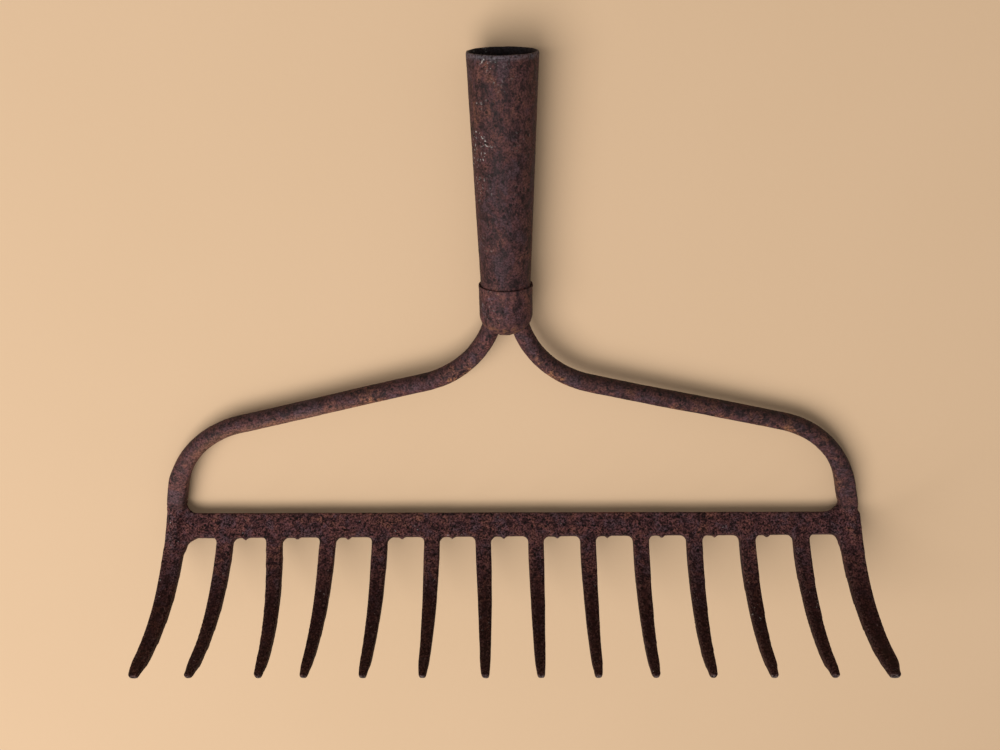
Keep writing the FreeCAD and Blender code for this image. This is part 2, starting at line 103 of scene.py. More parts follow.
def neighbour_mean(values, edges):
    """For each point, the mean of the values at the points it shares an edge with."""
    count = len(values)
    ends = np.concatenate([edges[:, 0], edges[:, 1]])
    others = np.concatenate([edges[:, 1], edges[:, 0]])
    share = np.maximum(np.bincount(ends, minlength=count), 1)
    sums = [np.bincount(ends, weights=column[others], minlength=count) for column in values.T]
    return np.stack(sums, axis=1) / share[:, None]


def push_out(mesh, distances):
    """Move each point this far along its normal."""
    write_points(mesh, read_points(mesh) + read_normals(mesh) * distances[:, None])


def relax(mesh, rounds, hold=0.0):
    """Round the mesh off: each round pulls points to their neighbours, and hold pushes back."""
    points = read_points(mesh)
    edges = read_edges(mesh)
    for _ in range(rounds):
        points = points + 0.5 * (neighbour_mean(points, edges) - points)
        if hold:
            points = points - hold * (neighbour_mean(points, edges) - points)
    write_points(mesh, points)


def store(mesh, name, values):
    """Keep one number per point, for the materials to read."""
    layer = mesh.attributes.new(name, "FLOAT", "POINT")
    layer.data.foreach_set("value", np.asarray(values, np.float32))


def smoothstep(value, low, high):
    """From 0 at low to 1 at high, with soft ends; low may be the larger of the two."""
    t = np.clip((value - low) / (high - low), 0, 1)
    return t * t * (3 - 2 * t)


def noise_field(points, size, seed):
    """Soft noise from about -1 to 1 whose lumps are this many metres across."""
    shifted = points / size + seed
    return np.array([noise.noise(Vector(point)) for point in shifted])


def pit_field(points, seed):
    """From 0 to 1, how deep each point lies in a scatter of round pits of uneven size."""
    depth = np.empty(len(points))
    for row, point in enumerate(points / PIT_SPACING + seed):
        distances, centres = noise.voronoi(Vector(point))
        own_size = max(0.35 + 0.65 * noise.cell(centres[0] * 7.3), 0.05)
        depth[row] = max(0.0, 1 - distances[0] * PIT_SPACING / (PIT_RADIUS * own_size))
    return smoothstep(depth, 0, 1)


def new_object(name, mesh):
    """A mesh object that is linked to the scene."""
    piece = bpy.data.objects.new(name, mesh)
    bpy.context.scene.collection.objects.link(piece)
    return piece


def applied_mesh(piece):
    """The piece's mesh with its modifiers applied."""
    bpy.context.view_layer.update()
    graph = bpy.context.evaluated_depsgraph_get()
    return bpy.data.meshes.new_from_object(piece.evaluated_get(graph), depsgraph=graph)


def remeshed(mesh, voxel):
    """The same shape as an even skin of small squares."""
    helper = new_object("helper", mesh)
    skin = helper.modifiers.new("skin", "REMESH")
    skin.mode = "VOXEL"
    skin.voxel_size = voxel
    result = applied_mesh(helper)
    bpy.data.objects.remove(helper)
    return result


def as_mesh(work, name):
    """Turn a bmesh into a mesh, and free it."""
    mesh = bpy.data.meshes.new(name)
    work.to_mesh(mesh)
    work.free()
    return mesh


def copied_node(node):
    """A new mesh with a CAD node's surface, with shared points joined."""
    work = bmesh.new()
    work.from_mesh(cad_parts[node].data)
    bmesh.ops.remove_doubles(work, verts=work.verts, dist=SAME_POINT)
    return as_mesh(work, "copy")


def joined(meshes):
    """One mesh that holds all of these."""
    work = bmesh.new()
    for mesh in meshes:
        work.from_mesh(mesh)
    return as_mesh(work, "joined")


def mark_edges(mesh):
    """Store how far each point stands out from, or lies below, the surface around it."""
    points = read_points(mesh)
    edges = read_edges(mesh)
    smooth = points
    for _ in range(EDGE_ROUNDS):
        smooth = neighbour_mean(smooth, edges)
    standing = np.einsum("ij,ij->i", points - smooth, read_normals(mesh))
    store(mesh, "edge", np.clip(standing / EDGE_HEIGHT, -1, 1))


def corrode(mesh, seed, grain=0.05, swell=0.12, pits=0.3):
    """Rust relief, in mm: broad swelling, fine grain and scattered pits, along the normals."""
    points = read_points(mesh)
    broad = noise_field(points, SWELL_SIZE, seed + 3.1)
    coarse = noise_field(points, COARSE_GRAIN_SIZE, seed + 11.7)
    fine = noise_field(points, FINE_GRAIN_SIZE, seed + 23.9)
    pitted = pit_field(points, seed + 5.3)
    lift = swell * broad + grain * (coarse + 0.7 * fine) - pits * pitted
    push_out(mesh, lift * MM)
    store(mesh, "pit", pitted)


def finish_piece(mesh, name, node, material):
    """Turn a finished mesh into a smooth-shaded piece that stands for its CAD node."""
    mesh.name = name
    mesh.materials.clear()
    mesh.materials.append(material)
    mesh.shade_smooth()
    piece = new_object(name, mesh)
    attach(piece, BODY)
    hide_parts(node)


# ---------------------------------------------------------------- the bar's own frame

BAR_SKEW = math.radians(-0.73)      # how far the bar is turned from square to the socket
BAR_TILT = math.radians(-40)        # how steeply the bar's own plane rises towards the tines
BAR_MIDDLE = 60 * MM                # how far from the middle the bar is read, to find its edges
TOP_BAND = 4 * MM                   # how far down from its top edge the bar's middle plane is read
ROOT_DEPTH = 11.9 * MM              # from the bar's top edge down to the gaps between the tines
GAP_LEVEL = ROOT_DEPTH + 4.5 * MM   # how far down the gaps' sides are read


class BarFrame:
    """Places on the head as (along the bar, down the tines, out of the face), from its top edge."""

    def __init__(self, points):
        turn = np.array(Matrix.Rotation(BAR_SKEW, 3, "Z") @ Matrix.Rotation(BAR_TILT, 3, "X"))
        self.axes = np.stack([turn[:, X], -turn[:, Y], turn[:, Z]])
        self.origin = np.zeros(3)
        local = self.read(points)
        middle = local[np.abs(local[:, ALONG] - local[:, ALONG].mean()) < BAR_MIDDLE]
        top = middle[:, DOWN].min()
        edge = middle[middle[:, DOWN] < top + TOP_BAND]
        along = (local[:, ALONG].min() + local[:, ALONG].max()) / 2
        out = (edge[:, OUT].min() + edge[:, OUT].max()) / 2
        self.origin = np.array([along, top, out])

    def read(self, points):
        """From the part's frame into the bar's."""
        return points @ self.axes.T - self.origin

    def place(self, local):
        """From the bar's frame into the part's."""
        return (local + self.origin) @ self.axes


# ---------------------------------------------------------------- materials

class Nodes:
    """A short way to write a material's node tree."""

    def __init__(self, name):
        self.material = bpy.data.materials.new(name)
        self.material.use_nodes = True
        self.tree = self.material.node_tree
        self.tree.nodes.clear()
        self.place = self.add("ShaderNodeTexCoord").outputs["Object"]

    def add(self, kind, **settings):
        """A new node of this kind."""
        node = self.tree.nodes.new(kind)
        for key, value in settings.items():
            setattr(node, key, value)
        return node

    def feed(self, socket, value):
        """Give a node's input a fixed value, or link it to another node's output."""
        if isinstance(value, bpy.types.NodeSocket):
            self.tree.links.new(value, socket)
        else:
            socket.default_value = value

    def shifted_place(self, offset, stretch=(1, 1, 1)):
        """The surface point, moved so that no two textures look alike."""
        mapping = self.add("ShaderNodeMapping")
        self.feed(mapping.inputs["Vector"], self.place)
        mapping.inputs["Location"].default_value = offset
        mapping.inputs["Scale"].default_value = stretch
        return mapping.outputs[0]

    def noise(self, size, detail=4.0, rough=0.55, warp=0.0, offset=(0, 0, 0), stretch=(1, 1, 1)):
        """Noise from 0 to 1 whose main lumps are this many metres across."""
        node = self.add("ShaderNodeTexNoise")
        self.feed(node.inputs["Vector"], self.shifted_place(offset, stretch))
        node.inputs["Scale"].default_value = 1 / size
        node.inputs["Detail"].default_value = detail
        node.inputs["Roughness"].default_value = rough
        node.inputs["Distortion"].default_value = warp
        return node.outputs["Fac"]

    def cells(self, size, offset):
        """Scattered cells this many metres apart, with the distance to the nearest centre."""
        node = self.add("ShaderNodeTexVoronoi")
        self.feed(node.inputs["Vector"], self.shifted_place(offset))
        node.inputs["Scale"].default_value = 1 / size
        return node

    def span(self, value, low, high, start=0.0, end=1.0):
        """Map low..high onto start..end with soft ends; low may be the larger of the two."""
        node = self.add("ShaderNodeMapRange", interpolation_type="SMOOTHSTEP")
        self.feed(node.inputs["Value"], value)
        for key, number in (("From Min", low), ("From Max", high), ("To Min", start), ("To Max", end)):
            node.inputs[key].default_value = number
        return node.outputs["Result"]

    def maths(self, operation, first, second, clamp=False):
        """One sum of two numbers; clamp keeps its result between 0 and 1."""
        node = self.add("ShaderNodeMath", operation=operation, use_clamp=clamp)
        self.feed(node.inputs[0], first)
        self.feed(node.inputs[1], second)
        return node.outputs[0]

    def times(self, first, *others):
        """The product of two or more numbers."""
        for other in others:
            first = self.maths("MULTIPLY", first, other)
        return first

    def mix(self, share, first, second):
        """Blend two colours, from the first at 0 to the second at 1."""
        node = self.add("ShaderNodeMix", data_type="RGBA")
        self.feed(node.inputs[0], share)
        for socket, value in ((node.inputs[6], first), (node.inputs[7], second)):
            self.feed(socket, value if isinstance(value, bpy.types.NodeSocket) else (*value, 1))
        return node.outputs[2]

    def tint(self, colour, factor):
        """The colour times a number."""
        node = self.add("ShaderNodeVectorMath", operation="SCALE")
        self.feed(node.inputs[0], colour)
        self.feed(node.inputs["Scale"], factor)
        return node.outputs[0]

    def split(self, vector, axis):
        """One of a vector's three numbers."""
        node = self.add("ShaderNodeSeparateXYZ")
        self.feed(node.inputs[0], vector)
        return node.outputs[axis]

    def facing(self, axis):
        """One part of the direction in which the surface faces, from -1 to 1."""
        return self.split(self.add("ShaderNodeNewGeometry").outputs["Normal"], axis)

    def coordinate(self, axis):
        """One coordinate of the surface point, in metres."""
        return self.split(self.place, axis)

    def attribute(self, name):
        """A number stored at the mesh's points, or 0 where the mesh has none of this name."""
        return self.add("ShaderNodeAttribute", attribute_name=name).outputs["Fac"]

    def surface(self, colour, roughness, height, depth, metallic=0.1, specular=0.25):
        """Finish the tree with one principled shader and one bump of this depth."""
        bump = self.add("ShaderNodeBump")
        bump.inputs["Strength"].default_value = 1.0
        bump.inputs["Distance"].default_value = depth
        self.feed(bump.inputs["Height"], height)
        shader = self.add("ShaderNodeBsdfPrincipled")
        self.feed(shader.inputs["Base Color"], colour)
        self.feed(shader.inputs["Roughness"], roughness)
        shader.inputs["Metallic"].default_value = metallic
        shader.inputs["Specular IOR Level"].default_value = specular
        self.feed(shader.inputs["Normal"], bump.outputs[0])
        output = self.add("ShaderNodeOutputMaterial")
        self.tree.links.new(shader.outputs[0], output.inputs["Surface"])
        return self.material


PURPLE_BROWN = (0.062, 0.024, 0.026)
DEEP_BROWN = (0.014, 0.005, 0.006)
RED_BROWN = (0.088, 0.034, 0.027)
ORANGE_RUST = (0.168, 0.074, 0.037)
# painted highlight: the tan of the left rod's lit side
LIT_SIDE_TAN = (0.185, 0.088, 0.052)
WORN_RUST = (0.17, 0.10, 0.085)
BLUE_STEEL = (0.044, 0.028, 0.036)
PIT_BLACK = (0.003, 0.002, 0.002)
# painted shade, laid over the tines towards their tips
TINE_SHADE = (0.011, 0.0015, 0.0012)
# steel of the worn tine tips, lightened as a painted glint
BARE_STEEL_GLINT = (0.30, 0.27, 0.26)
RIM_STEEL = (0.125, 0.115, 0.135)
PALE_FLECK = (0.66, 0.64, 0.62)


def black_pits(nodes, seed):
    """From 0 to 1: round black pits of two sizes, some cells left empty."""
    shares = []
    for size, widest in ((2.6 * MM, 0.30), (1.3 * MM, 0.27)):
        pits = nodes.cells(size, (seed, seed, seed))
        radius = nodes.span(pits.outputs["Color"], 0.35, 0.9, -0.05, widest)
        outside = nodes.maths("SUBTRACT", pits.outputs["Distance"], radius)
        shares.append(nodes.span(outside, 0.07, -0.07))
    return nodes.maths("MAXIMUM", *shares)


def flecks(nodes, seed, low, high):
    """From 0 to 1: small pale smears, in clusters; low and high set how few there are."""
    spots = nodes.noise(1.3 * MM, 2, 0.6, offset=(seed, 0, seed))
    clusters = nodes.noise(14 * MM, 2, 0.5, offset=(0, seed, seed))
    return nodes.times(nodes.span(spots, low, high), nodes.span(clusters, 0.50, 0.62))


def rust_layers(nodes, seed, orange, blue, dark, contrast=1.0, stretch=(1, 1, 1)):
    """The colour, relief, roughness and grain that every rusted surface here shares.

    Orange, blue and dark say how much warm rust, bluish steel and black pitting there is;
    the rods' orange also follows the light, as painted light.
    """
    broad = nodes.noise(34 * MM, 4, 0.6, 0.5, (seed, 0, 0), stretch)
    patches = nodes.noise(9 * MM, 6, 0.68, 0.8, (0, seed, 0), stretch)
    mottle = nodes.noise(3.4 * MM, 5, 0.74, 0.4, (0, 0, seed), stretch)
    grain = nodes.noise(0.9 * MM, 3, 0.75, 0.0, (seed, seed, 0))
    colour = nodes.mix(nodes.span(mottle, 0.36, 0.58), DEEP_BROWN, PURPLE_BROWN)
    red = nodes.times(nodes.span(patches, 0.45, 0.64), nodes.span(mottle, 0.40, 0.60), 0.8)
    colour = nodes.mix(red, colour, RED_BROWN)
    steel = nodes.times(nodes.span(patches, 0.50, 0.38), nodes.span(mottle, 0.36, 0.54), blue)
    colour = nodes.mix(steel, colour, BLUE_STEEL)
    warm_area = nodes.maths("ADD", broad, nodes.times(patches, 0.6))
    warm = nodes.times(nodes.span(warm_area, 0.82, 1.0), nodes.span(mottle, 0.42, 0.62))
    colour = nodes.mix(nodes.maths("MULTIPLY", warm, orange, clamp=True), colour, ORANGE_RUST)
    darkest = max(0.05, 1 - 0.65 * contrast)
    colour = nodes.tint(colour, nodes.span(grain, 0.36, 0.64, darkest, 1 + 0.75 * contrast))
    black = nodes.maths("MAXIMUM", black_pits(nodes, seed), nodes.attribute("pit"))
    black = nodes.maths("MULTIPLY", black, dark, clamp=True)
    colour = nodes.mix(black, colour, PIT_BLACK)
    relief = nodes.maths("ADD", nodes.times(mottle, 0.7), nodes.times(grain, 0.6))
    relief = nodes.maths("SUBTRACT", relief, nodes.times(black, 0.5))
    rough = nodes.span(mottle, 0.3, 0.7, 0.62, 0.85)
    return colour, relief, rough, grain


def rod_material():
    """The bow's rods, with painted light: warm orange where they face the tines and the light,
    painted shade where they face the mouth.

    The left rod is painted lighter than the right, as if lit from the left, and its limb gets
    a painted tan highlight above the leg's bend.
    """
    nodes = Nodes("rusted_rod_painted_light")
    tineward = nodes.times(nodes.facing(Y), -1.0)
    # painted light: more orange where the rods face the tines and the light, less on their shaded sides
    # that face the mouth
    orange = nodes.span(tineward, -0.2, 0.7, 0.3, 1.8)
    colour, relief, rough, grain = rust_layers(
        nodes, seed=2.7, orange=orange, blue=0.6, dark=0.85, contrast=0.9)
    # painted highlight: tan on the lit side of the left limb that faces the tines, above the leg's bend
    on_left = nodes.span(nodes.coordinate(X), -50 * MM, -100 * MM)
    above_leg = nodes.span(nodes.coordinate(Y), -205 * MM, -185 * MM, 0.15, 1.0)
    tan = nodes.times(nodes.span(tineward, -0.3, 0.6), on_left)
    tan = nodes.times(tan, above_leg, nodes.span(grain, 0.40, 0.60, 0.15, 0.65))
    colour = nodes.mix(tan, colour, LIT_SIDE_TAN)
    # painted light and shade: the rods lighter towards the left, where the light comes from, and darker
    # where they face the mouth, away from the light
    leftward = nodes.span(nodes.coordinate(X), -30 * MM, 50 * MM, 1.35, 1.0)
    colour = nodes.tint(colour, nodes.times(nodes.span(tineward, -0.9, 0.5, 0.65, 1.25), leftward))
    return nodes.surface(colour, rough, relief, 0.35 * MM)


def forging_material():
    """The head, with painted light: shade painted darker down the tines, worn steel tips brightened as a
    painted glint, and a little lighter at the left where the light is.
    """
    nodes = Nodes("rusted_forging_painted_light")
    colour, relief, rough, grain = rust_layers(
        nodes, seed=9.1, orange=0.2, blue=0.7, dark=0.95, contrast=1.9)
    # painted light: the head a little lighter towards the left, where the light comes from
    colour = nodes.tint(colour, nodes.span(nodes.coordinate(X), -160 * MM, -20 * MM, 1.2, 1.0))
    # painted shade: the tines darker towards their tips, where their faces turn away from the light
    reach = nodes.span(nodes.attribute("reach"), 8 * MM, 52 * MM, 0.0, 0.76)
    colour = nodes.mix(reach, colour, TINE_SHADE)
    worn = nodes.times(nodes.span(nodes.attribute("edge"), 0.15, 0.6), nodes.span(grain, 0.5, 0.6), 0.25)
    colour = nodes.mix(worn, colour, WORN_RUST)
    # worn steel at the tips, brightened further as a painted glint
    bare_tip_and_glint = nodes.times(nodes.attribute("tip"), nodes.span(grain, 0.46, 0.56), 0.4)
    colour = nodes.mix(bare_tip_and_glint, colour, BARE_STEEL_GLINT)
    spots = nodes.times(flecks(nodes, seed=4.4, low=0.66, high=0.78), 0.4)
    colour = nodes.mix(spots, colour, PALE_FLECK)
    return nodes.surface(colour, rough, relief, 0.40 * MM, specular=0.11)


def sheet_material():
    """The sheet steel: pale flecks and a worn rim at the mouth, orange spatter at the cup's bottom.

    The cup is lighter than the tube, and the tube's inside is darkened as painted shade.
    """
    nodes = Nodes("rusted_sheet_painted_shade")
    colour, relief, rough, grain = rust_layers(
        nodes, seed=5.4, orange=0.25, blue=0.6, dark=0.8, contrast=0.8, stretch=(1, 0.6, 1))
    at_rim = nodes.span(nodes.coordinate(Y), -3.4 * MM, -1.4 * MM)
    rim = nodes.times(at_rim, nodes.span(grain, 0.36, 0.6), 0.55)
    colour = nodes.mix(rim, colour, RIM_STEEL)
    spatter = nodes.span(nodes.noise(2.4 * MM, 3, 0.6, offset=(7, 7, 7)), 0.46, 0.60)
    cup_bottom = nodes.span(nodes.coordinate(Y), -117.5 * MM, -123.5 * MM)
    colour = nodes.mix(nodes.times(cup_bottom, spatter, 0.8), colour, ORANGE_RUST)
    near_mouth = nodes.span(nodes.coordinate(Y), -80 * MM, -10 * MM, 0.1, 0.7)
    leftward = nodes.span(nodes.coordinate(X), -1 * MM, -8 * MM, 0.15, 1.0)
    spots = nodes.times(flecks(nodes, seed=1.7, low=0.58, high=0.72), nodes.times(near_mouth, leftward))
    colour = nodes.mix(spots, colour, PALE_FLECK)
    on_cup = nodes.span(nodes.coordinate(Y), -98 * MM, -104 * MM, 1.0, 1.3)
    # painted shade: the inside of the tube darkened, where little light reaches
    inside = nodes.span(nodes.attribute("inside"), 0.2, 0.8, 1.0, 0.25)
    colour = nodes.tint(colour, nodes.times(on_cup, inside))
    return nodes.surface(colour, rough, relief, 0.25 * MM)


def weld_material():
    """The welds: the same rust, with more orange in it."""
    nodes = Nodes("rusted_weld")
    colour, relief, rough, _ = rust_layers(nodes, seed=7.9, orange=1.3, blue=0.3, dark=0.8)
    return nodes.surface(colour, rough, relief, 0.5 * MM)


# ---------------------------------------------------------------- pieces

SIDE_NAMES = {-1: "left", 1: "right"}
FOOT_LEVELS = np.arange(2.5, 30, 1.0) * MM      # heights above a bow arm's foot where it is read
RING_HALF = 0.7 * MM                            # half the height of the ring read at each level
SLOPE_ROWS = 4                                  # levels over which the leg's slope is taken
SQUARE_POWER = 4.5                              # how square the legs are: 2 would be round
SQUARE_WIDEN = np.array([1.09, 1.0])            # how much wider than the rod they are, in x and z
SEAM_OVERLAP = 0.9 * MM                         # how far legs and horns run on into their weld
TUCK = 0.14                                     # the share by which a fully tucked end shrinks
LIMB_BOWS = {                                   # where each limb bows, how broadly, how far down
    -1: (-62 * MM, 30 * MM, -0.25 * MM),
    1: (58 * MM, 38 * MM, 0.50 * MM),
}
WEB_SIZES = {                                   # along the bar and up the horn, left and right
    -1: (6.2 * MM, 5.2 * MM),
    1: (9.0 * MM, 8.0 * MM),
}
WEB_SUNK = 2 * MM                               # how far the webs reach into the bar and horns
WEB_THICKNESS = 5.4 * MM
WEB_CLEARANCE = 1.0 * MM                        # from the head's underside up to the webs
WEB_POINTS = 9                                  # points along a web's round edge
HORN_SQUARE = 0.8                               # how square the horns get, as a share of the legs
HORN_TUCK = 0.3                                 # how far the horns tuck in, as a share of the legs
TIP_ROUNDS = 18                                 # rounds of smoothing at the tines' tips
TIP_WEAR = {-1: 0.8 * MM, 1: 1.6 * MM}          # how much the end tines' outer corners have lost
TIP_GROWTH = 0.4 * MM                           # makes up for the length that rounding takes
TIP_LEAN = 0.0018                               # growth of the tines per length along the bar


class LegLine:
    """The middle of a bow arm near its foot, carried on straight past the foot."""

    def __init__(self, points):
        self.foot = points[:, Y].min()
        self.levels = self.foot + FOOT_LEVELS
        lows = []
        highs = []
        for level in self.levels:
            ring = points[np.abs(points[:, Y] - level) < RING_HALF][:, [X, Z]]
            lows.append(ring.min(axis=0))
            highs.append(ring.max(axis=0))
        self.middles = (np.array(lows) + np.array(highs)) / 2
        self.halves = (np.array(highs) - np.array(lows)) / 2

    def at(self, level, rows):
        """Read rows of (x, z) values at other levels."""
        return np.stack([np.interp(level, self.levels, column) for column in rows.T], axis=1)

    def middle_at(self, level):
        """The (x, z) of the rod's middle at these levels."""
        rise = self.levels[SLOPE_ROWS] - self.levels[0]
        slope = (self.middles[SLOPE_ROWS] - self.middles[0]) / rise
        past = self.middles[0] + slope * (level - self.levels[0])[:, None]
        return np.where((level < self.levels[0])[:, None], past, self.at(level, self.middles))

    def tuck_in(self, points, weight):
        """Draw points towards the rod's middle, so that a piece's end hides inside its neighbour."""
        middle = self.middle_at(points[:, Y])
        result = points.copy()
        result[:, [X, Z]] += (middle - points[:, [X, Z]]) * (TUCK * weight)[:, None]
        return result

    def square_off(self, points, weight):
        """Flatten the rod's four sides, as far as the weight says at each point."""
        middle = self.middle_at(points[:, Y])
        half = self.at(points[:, Y], self.halves)
        offset = points[:, [X, Z]] - middle
        angle = np.arctan2(offset[:, 1] / half[:, 1], offset[:, 0] / half[:, 0])
        reach = np.abs(np.cos(angle)) ** SQUARE_POWER + np.abs(np.sin(angle)) ** SQUARE_POWER
        grow = reach[:, None] ** (-1 / SQUARE_POWER) * SQUARE_WIDEN
        result = points.copy()
        result[:, [X, Z]] = middle + offset * (1 + weight[:, None] * (grow - 1))
        return result


def web_outline(corner, side):
    """A web as (along, down) points: a hollow quarter round that is closed inside the metal."""
    width, height = WEB_SIZES[side]
    round_edge = [(corner - side * width * (1 - math.sin(turn)), -height * (1 - math.cos(turn)))
                  for turn in np.linspace(0, math.pi / 2, WEB_POINTS)]
    sunk = corner + side * WEB_SUNK
    return round_edge + [(sunk, -height), (sunk, WEB_SUNK), (round_edge[0][0], WEB_SUNK)]


def corner_web(bar, outline, lowest):
    """A mesh of even thickness with this outline, but nowhere below the lowest level."""
    work = bmesh.new()
    rings = []
    for out in (-WEB_THICKNESS / 2, WEB_THICKNESS / 2):
        spots = bar.place(np.array([(along, down, out) for along, down in outline]))
        spots[:, Z] = np.maximum(spots[:, Z], lowest)
        rings.append([work.verts.new(spot) for spot in spots])
    back, front = rings
    work.faces.new(back)
    work.faces.new(front)
    for first in range(len(outline)):
        after = (first + 1) % len(outline)
        work.faces.new((back[first], back[after], front[after], front[first]))
    bmesh.ops.recalc_face_normals(work, faces=work.faces)
    return as_mesh(work, "web")


def horn_corner(local, side):
    """Where a horn's inner side stands along the bar, just above the bar's top edge."""
    above = (local[:, DOWN] < -2 * MM) & (local[:, DOWN] > -4 * MM)
    band = local[above & (local[:, ALONG] * side > 0)]
    return side * (band[:, ALONG] * side).min()


def corner_webs(head, bar):
    """The fillets between the bar's top edge and both horns."""
    points = read_points(head)
    local = bar.read(points)
    lowest = points[:, Z].min() + WEB_CLEARANCE
    return [corner_web(bar, web_outline(horn_corner(local, side), side), lowest) for side in (-1, 1)]


def meet_leg(points, side, leg):
    """Square a horn off like the leg it meets, and let its end run on into the weld."""
    on_side = points[:, X] * side > 0
    start = points[on_side, Y].max()
    weight = HORN_SQUARE * smoothstep(points[:, Y], start - 6 * MM, start - 1 * MM) * on_side
    outward = (points[:, X] - leg.middle_at(points[:, Y])[:, 0]) * side
    weight *= smoothstep(outward, -6 * MM, -2 * MM)
    points = leg.square_off(points, weight)
    at_start = smoothstep(points[:, Y], start - 1.5 * MM, start - 0.2 * MM) * on_side
    points = leg.tuck_in(points, HORN_TUCK * at_start)
    points[:, Y] += SEAM_OVERLAP * at_start
    return points


def find_gaps(local):
    """The (left, right) sides of each gap between tines, read just below the gaps' tops."""
    band = local[np.abs(local[:, DOWN] - GAP_LEVEL) < 0.8 * MM]
    along = np.sort(band[:, ALONG])
    jumps = np.nonzero(np.diff(along) > 8 * MM)[0]
    return [(along[jump], along[jump + 1]) for jump in jumps]


def stroke_edge(along, left, right, number):
    """How far one gap's top hangs down, in mm: a cusp where the strokes met, a lobe to its left."""
    meeting = left + (0.37 + 0.03 * math.sin(2.4 * number)) * (right - left)
    away = np.abs(along - meeting)
    cusp = (0.85 + 0.15 * math.sin(4.1 * number)) * np.clip(1 - away / (1.6 * MM), 0, 1)
    lobe_half = (meeting - left) / 2
    bend = np.abs(along - left - lobe_half) / lobe_half
    lobe = 0.15 + 0.6 * np.clip(bend, 0, 1.2) ** 3
    lobe *= smoothstep(along, meeting + 0.4 * MM, meeting - 0.4 * MM)
    within = smoothstep(along, left - 1 * MM, left + 1 * MM)
    within *= smoothstep(along, right + 1 * MM, right - 1 * MM)
    return (cusp + lobe) * within


def shear_marks(local):
    """How far the bar's lower edge hangs down in each gap, where two punch strokes met.

    The two end gaps have none.
    """
    hang = np.zeros(len(local))
    for number, (left, right) in enumerate(find_gaps(local)[1:-1]):
        hang += stroke_edge(local[:, ALONG], left, right, number)
    near_root = smoothstep(local[:, DOWN], ROOT_DEPTH - 4 * MM, ROOT_DEPTH - 0.5 * MM)
    near_root *= smoothstep(local[:, DOWN], ROOT_DEPTH + 4 * MM, ROOT_DEPTH + 1 * MM)
    return hang * near_root * MM


def hollow_left_web(local):
    """Scoop the web beside the left end tine, whose corner is rounder than a straight chamfer."""
    left, _ = find_gaps(local)[0]
    away = np.linalg.norm(local[:, [ALONG, DOWN]] - np.array([left, GAP_LEVEL]), axis=1)
    shift = 1.5 * MM * np.exp(-(away / (3.0 * MM)) ** 2)
    local[:, ALONG] -= 0.8 * shift
    local[:, DOWN] -= 0.6 * shift


def round_tips(mesh, bar):
    """Wear the tine tips round, the end tines' outer corners most, and keep their length."""
    local = bar.read(read_points(mesh))
    end = local[:, DOWN].max()
    near_tip = smoothstep(local[:, DOWN], end - 9 * MM, end - 1 * MM)
    for side, wear in TIP_WEAR.items():
        outward = local[:, ALONG] * side
        widest = outward[near_tip > 0.9].max()
        local[:, ALONG] -= side * wear * near_tip * smoothstep(outward, widest - 7 * MM, widest)
    local[:, DOWN] += (TIP_GROWTH + TIP_LEAN * local[:, ALONG]) * near_tip
    points = bar.place(local)
    edges = read_edges(mesh)
    weight = 0.5 * smoothstep(local[:, DOWN], end - 6 * MM, end - 2 * MM)[:, None]
    for _ in range(TIP_ROUNDS):
        points = points + weight * (neighbour_mean(points, edges) - points)
    write_points(mesh, points)


def fill_tines(mesh, bar):
    """Give the tines back the width that rounding took from them."""
    down = bar.read(read_points(mesh))[:, DOWN]
    end = down.max()
    share = smoothstep(down, 14 * MM, 26 * MM) * smoothstep(down, end - 3 * MM, end - 10 * MM)
    push_out(mesh, 0.2 * MM * share)


def mark_tines(mesh, bar):
    """Store how far down the tines each point lies, and which points are at the tips."""
    down = bar.read(read_points(mesh))[:, DOWN]
    end = down.max()
    store(mesh, "reach", down)
    store(mesh, "tip", smoothstep(down, end - 2.0 * MM, end - 0.7 * MM))


def build_head(material, legs):
    """Bar, tines and horns: the forging, with worn edges and rust relief."""
    cad = copied_node("rake_head")
    coarse = remeshed(cad, voxel=1.0 * MM)
    bar = BarFrame(read_points(coarse))
    mesh = remeshed(joined([cad] + corner_webs(coarse, bar)), voxel=0.71 * MM)
    relax(mesh, rounds=3, hold=0.3)
    points = read_points(mesh)
    for side, leg in legs.items():
        points = meet_leg(points, side, leg)
    local = bar.read(points)
    local[:, DOWN] += shear_marks(local)
    hollow_left_web(local)
    write_points(mesh, bar.place(local))
    round_tips(mesh, bar)
    fill_tines(mesh, bar)
    mark_edges(mesh)
    mark_tines(mesh, bar)
    corrode(mesh, seed=1.0, grain=0.04, swell=0.07, pits=0.2)
    finish_piece(mesh, "forged_head", "rake_head", material)


def limb_bow(across, side):
    """How far a limb is bent towards the tines, as a soft bump."""
    middle, spread, drop = LIMB_BOWS[side]
    return drop * np.exp(-((across - middle) / spread) ** 2)


def build_arm(side, material):
    """One bow rod: round along its limb, squarish down its leg, not quite straight."""
    name = SIDE_NAMES[side]
    mesh = remeshed(copied_node(name + "_bow_arm"), voxel=0.45 * MM)
    relax(mesh, rounds=4, hold=0.5)
    points = read_points(mesh)
    leg = LegLine(points)
    down_leg = smoothstep(points[:, Y], leg.foot + 32 * MM, leg.foot + 14 * MM)
    points = leg.square_off(points, down_leg)
    at_foot = smoothstep(points[:, Y], leg.foot + 1.5 * MM, leg.foot + 0.2 * MM)
    points = leg.tuck_in(points, at_foot)
    points[:, Y] -= SEAM_OVERLAP * at_foot
    points[:, Y] -= limb_bow(points[:, X], side)
    write_points(mesh, points)
    corrode(mesh, seed=2.0)
    finish_piece(mesh, name + "_bow_rod", name + "_bow_arm", material)
    return leg


def open_seam(points, level):
    """How deep a weld's seam stands open at each point: a thin wandering line, closed in places."""
    around = points * [1, 0, 1]
    wander = 0.5 * MM * noise_field(around, 5 * MM, 3.3)
    share = smoothstep(noise_field(around, 6 * MM, 8.8), -0.1, 0.35)
    return 0.45 * MM * share * np.exp(-((points[:, Y] - level - wander) / (0.35 * MM)) ** 2)


